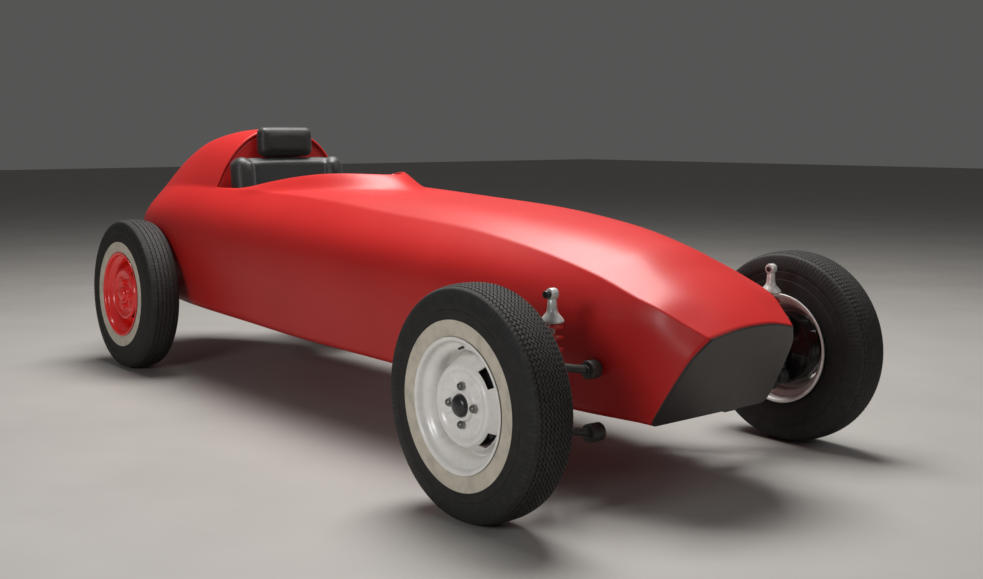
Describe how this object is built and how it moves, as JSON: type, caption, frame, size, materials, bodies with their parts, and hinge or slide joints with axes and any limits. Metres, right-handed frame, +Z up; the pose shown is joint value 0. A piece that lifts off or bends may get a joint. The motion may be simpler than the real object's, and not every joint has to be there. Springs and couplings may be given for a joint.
{
  "type": "open wheel racing car",
  "caption": "Single seater open wheel racing car with a smooth red body, headrest fairing, flat nose plate, bucket seat, exposed front suspension and whitewall tyres.",
  "frame": {"origin": "on the ground, at the middle of the car's length and width", "axes": "+X forward, +Y to the car's left, +Z up"},
  "size_m": [3.4422, 1.4594, 1.023],
  "materials": {
    "body_paint": "gloss red paint",
    "nose_plate": "satin dark brown",
    "spring_paint": "gloss red paint",
    "vinyl": "smooth dark grey vinyl",
    "tyre": "matt rubber with a pale side band",
    "wheel_silver": "satin silver paint",
    "wheel_red": "gloss red paint",
    "strut": "satin off-white",
    "drum": "dark satin",
    "engine": "cast",
    "steering_wheel": "dark rim",
    "panel": "satin dark paint",
    "chassis_dark": "satin dark grey"
  },
  "bodies": {
    "root": {"body_cockpit": "body_paint", "body_nose": "body_paint", "body_tail": "body_paint", "coil_spring_left": "spring_paint", "coil_spring_right": "spring_paint", "dashboard": "panel", "engine_block": "engine", "headrest": "vinyl", "lower_wishbone_left": "chassis_dark", "lower_wishbone_right": "chassis_dark", "nose_plate": "nose_plate", "radius_rod_left": "chassis_dark", "radius_rod_right": "chassis_dark", "rear_axle": "chassis_dark", "rear_backing_plate_left": "chassis_dark", "rear_backing_plate_right": "chassis_dark", "seat_back": "vinyl", "seat_bulkhead": "body_paint", "seat_cushion": "vinyl", "steering_column": "chassis_dark", "strut_left": "strut", "strut_right": "strut", "undertray": "panel", "upper_wishbone_left": "chassis_dark", "upper_wishbone_right": "chassis_dark"},
    "steering_wheel": {"steering_wheel": "steering_wheel"},
    "track_rod": {"track_rod": "chassis_dark"},
    "knuckle_right": {"knuckle_right": "chassis_dark"},
    "knuckle_left": {"knuckle_left": "chassis_dark"},
    "wheel_front_right": {"tyre_front_right": "tyre", "wheel_front_right": "wheel_silver", "brake_drum_front_right": "drum"},
    "wheel_front_left": {"tyre_front_left": "tyre", "wheel_front_left": "wheel_silver", "brake_drum_front_left": "drum"},
    "wheel_rear_right": {"tyre_rear_right": "tyre", "wheel_rear_right": "wheel_red", "brake_drum_rear_right": "drum"},
    "wheel_rear_left": {"tyre_rear_left": "tyre", "wheel_rear_left": "wheel_red", "brake_drum_rear_left": "drum"}
  },
  "joints": [
    {"name": "steer_right", "type": "hinge", "parent": "root", "child": "knuckle_right", "pos_m": [1.38385, -0.546, 0.31], "axis": [0, 0, 1], "range_deg": [-25, 25]},
    {"name": "steer_left", "type": "hinge", "parent": "root", "child": "knuckle_left", "pos_m": [1.38385, 0.546, 0.31], "axis": [0, 0, 1], "range_deg": [-25, 25]},
    {"name": "track_rod_slide", "type": "slide", "parent": "root", "child": "track_rod", "axis": [0, 1, 0], "range_m": [-0.061, 0.061]},
    {"name": "steering_wheel_turn", "type": "hinge", "parent": "root", "child": "steering_wheel", "pos_m": [-0.20615, 0, 0.655], "axis": [-0.9397, 0, 0.342], "range_deg": [-205, 205]},
    {"name": "spin_front_right", "type": "hinge", "parent": "knuckle_right", "child": "wheel_front_right", "pos_m": [1.34785, -0.6597, 0.31], "axis": [0, 1, 0], "continuous": true},
    {"name": "spin_front_left", "type": "hinge", "parent": "knuckle_left", "child": "wheel_front_left", "pos_m": [1.34785, 0.6597, 0.31], "axis": [0, 1, 0], "continuous": true},
    {"name": "spin_rear_right", "type": "hinge", "parent": "root", "child": "wheel_rear_right", "pos_m": [-1.19115, -0.4936, 0.31699], "axis": [0, 0.9995, -0.0314], "continuous": true},
    {"name": "spin_rear_left", "type": "hinge", "parent": "root", "child": "wheel_rear_left", "pos_m": [-1.19115, 0.4936, 0.31699], "axis": [0, 0.9995, 0.0314], "continuous": true}
  ],
  "couplings": [
    {"joint": "steer_left", "follows": "steer_right", "ratio": 1},
    {"joint": "track_rod_slide", "follows": "steer_right", "m_per_rad": -0.135},
    {"joint": "steering_wheel_turn", "follows": "steer_right", "ratio": 8}
  ]
}
